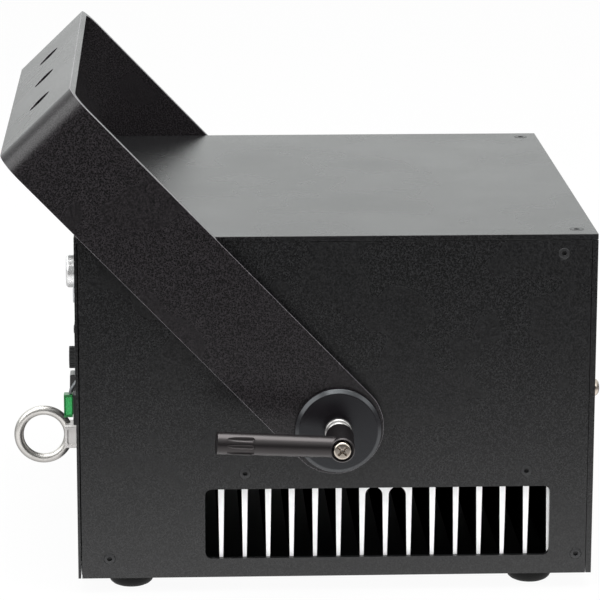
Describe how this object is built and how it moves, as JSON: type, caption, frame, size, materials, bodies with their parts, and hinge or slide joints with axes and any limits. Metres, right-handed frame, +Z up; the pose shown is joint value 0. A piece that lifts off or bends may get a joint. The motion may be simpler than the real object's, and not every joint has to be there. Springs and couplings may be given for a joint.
{
  "type": "laser show projector",
  "caption": "Stage laser projector: flat black metal box with finned side vents, rubber feet and a tilting U-yoke locked by clamp levers, with a safety eye and sockets on the rear.",
  "frame": {"origin": "centre of the footprint of the whole object's box, on the surface that the feet stand on", "axes": "+X towards the front panel, where the beams leave; +Y across the casing to the far side; +Z up"},
  "size_m": [0.3302, 0.4084, 0.278],
  "materials": {
    "panel_black": "fine-textured black powder coat",
    "mask_black": "fine-textured black powder coat",
    "yoke_black": "fine-textured black powder coat",
    "floor_metal": "plain sheet",
    "fin_metal": "extrusion with bare cut ends, black anodised between",
    "foot_rubber": "moulded",
    "fan_black": "moulded",
    "bush_steel": "zinc plated",
    "disc_black": "black anodised",
    "stud_chrome": "satin chrome plate",
    "lever_black": "satin black enamel",
    "screw_steel": "stainless",
    "window_glass": "coated optical glass",
    "laser_black": "black anodised",
    "optic_silver": "polished",
    "block_metal": "machined",
    "supply_metal": "perforated sheet case",
    "board_green": "solder mask",
    "eye_steel": "polished stainless",
    "key_chrome": "polished",
    "plug_steel": "nickel plated",
    "fitting_black": "moulded",
    "rocker_black": "moulded",
    "plug_green": "translucent green",
    "bridge_grey": "tinned wire",
    "shell_tin": "tin plated",
    "inlet_blue": "moulded"
  },
  "bodies": {
    "casing": {"chassis": "floor_metal", "side_panel_near": "panel_black", "side_panel_far": "panel_black", "top_cover": "panel_black", "front_panel": "panel_black", "rear_panel": "panel_black", "foot_rear_near": "foot_rubber", "foot_rear_far": "foot_rubber", "foot_front_near": "foot_rubber", "foot_front_far": "foot_rubber", "heat_sink": "fin_metal", "fan_frame_1": "fan_black", "fan_frame_2": "fan_black", "pivot_bush_near": "bush_steel", "pivot_bush_far": "bush_steel", "front_screw_near": "screw_steel", "front_screw_far": "screw_steel", "window_glass": "window_glass", "laser_module_red": "laser_black", "laser_module_green": "laser_black", "laser_module_blue": "laser_black", "folding_mirror": "optic_silver", "dichroic_mirror_green": "optic_silver", "dichroic_mirror_blue": "optic_silver", "galvo_block": "block_metal", "galvo_motor_x": "laser_black", "galvo_motor_y": "laser_black", "power_supply": "supply_metal", "control_board": "board_green", "galvo_driver": "board_green", "eyebolt": "eye_steel", "key_switch_barrel": "key_chrome", "fuse_holder": "fitting_black", "rocker_frame": "fitting_black", "interlock_header": "fitting_black", "ilda_socket": "shell_tin", "dmx_socket": "fitting_black", "network_socket": "fitting_black", "power_inlet": "inlet_blue"},
    "yoke": {"yoke": "yoke_black"},
    "clamp_near": {"clamp_disc_near": "disc_black", "clamp_stud_near": "stud_chrome", "clamp_screw_near": "screw_steel"},
    "lever_near": {"clamp_lever_near": "lever_black"},
    "clamp_far": {"clamp_disc_far": "disc_black", "clamp_stud_far": "stud_chrome", "clamp_screw_far": "screw_steel"},
    "lever_far": {"clamp_lever_far": "lever_black"},
    "fan_1": {"fan_rotor_1": "fan_black"},
    "fan_2": {"fan_rotor_2": "fan_black"},
    "scan_mirror_x": {"galvo_mirror_x": "optic_silver"},
    "scan_mirror_y": {"galvo_mirror_y": "optic_silver"},
    "key_plug": {"key_switch_plug": "plug_steel"},
    "fuse_cap": {"fuse_cap": "fitting_black"},
    "mains_rocker": {"rocker": "rocker_black"},
    "interlock_plug": {"interlock_plug": "plug_green", "interlock_bridge": "bridge_grey"},
    "mask": {"aperture_mask": "mask_black"},
    "thumbscrew_near": {"mask_thumbscrew_near": "screw_steel"},
    "thumbscrew_far": {"mask_thumbscrew_far": "screw_steel"}
  },
  "joints": [
    {"name": "yoke_tilt", "type": "hinge", "parent": "casing", "child": "yoke", "pos_m": [0.0164, 0, 0.093], "axis": [0, 1, 0], "continuous": true},
    {"name": "clamp_turn_near", "type": "hinge", "parent": "casing", "child": "clamp_near", "pos_m": [0.0164, -0.15, 0.093], "axis": [0, -1, 0], "range_deg": [0, 360]},
    {"name": "lever_lift_near", "type": "slide", "parent": "clamp_near", "child": "lever_near", "axis": [0, -1, 0], "range_m": [0, 0.004], "stiffness_N_per_m": 1500, "springref_m": -0.002},
    {"name": "clamp_turn_far", "type": "hinge", "parent": "casing", "child": "clamp_far", "pos_m": [0.0164, 0.15, 0.093], "axis": [0, 1, 0], "range_deg": [0, 360]},
    {"name": "lever_lift_far", "type": "slide", "parent": "clamp_far", "child": "lever_far", "axis": [0, 1, 0], "range_m": [0, 0.004], "stiffness_N_per_m": 1500, "springref_m": -0.002},
    {"name": "fan_spin_1", "type": "hinge", "parent": "casing", "child": "fan_1", "pos_m": [-0.0018, 0, 0.0448], "axis": [0, 1, 0], "continuous": true},
    {"name": "fan_spin_2", "type": "hinge", "parent": "casing", "child": "fan_2", "pos_m": [0.0878, 0, 0.0448], "axis": [0, 1, 0], "continuous": true},
    {"name": "scan_x", "type": "hinge", "parent": "casing", "child": "scan_mirror_x", "pos_m": [0.1114, 0, 0.0986], "axis": [1, 0, 0], "range_deg": [-20, 20]},
    {"name": "scan_y", "type": "hinge", "parent": "casing", "child": "scan_mirror_y", "pos_m": [0.1114, 0, 0.1126], "axis": [0, 1, 0], "range_deg": [-20, 20]},
    {"name": "key_turn", "type": "hinge", "parent": "casing", "child": "key_plug", "pos_m": [-0.1246, 0, 0.1465], "axis": [1, 0, 0], "range_deg": [0, 90]},
    {"name": "fuse_cap_turn", "type": "hinge", "parent": "casing", "child": "fuse_cap", "pos_m": [-0.1246, 0, 0.095], "axis": [-1, 0, 0], "range_deg": [0, 60]},
    {"name": "rocker_tip", "type": "hinge", "parent": "casing", "child": "mains_rocker", "pos_m": [-0.1236, 0, 0.0755], "axis": [0, 1, 0], "range_deg": [-14, 0]},
    {"name": "interlock_pull", "type": "slide", "parent": "casing", "child": "interlock_plug", "axis": [-1, 0, 0], "range_m": [0, 0.0085]},
    {"name": "mask_slide", "type": "slide", "parent": "casing", "child": "mask", "axis": [0, 0, 1], "range_m": [0, 0.02]},
    {"name": "thumbscrew_turn_near", "type": "hinge", "parent": "casing", "child": "thumbscrew_near", "pos_m": [0.1581, -0.045, 0.0726], "axis": [1, 0, 0], "range_deg": [0, 360]},
    {"name": "thumbscrew_turn_far", "type": "hinge", "parent": "casing", "child": "thumbscrew_far", "pos_m": [0.1581, 0.045, 0.0726], "axis": [1, 0, 0], "range_deg": [0, 360]}
  ]
}
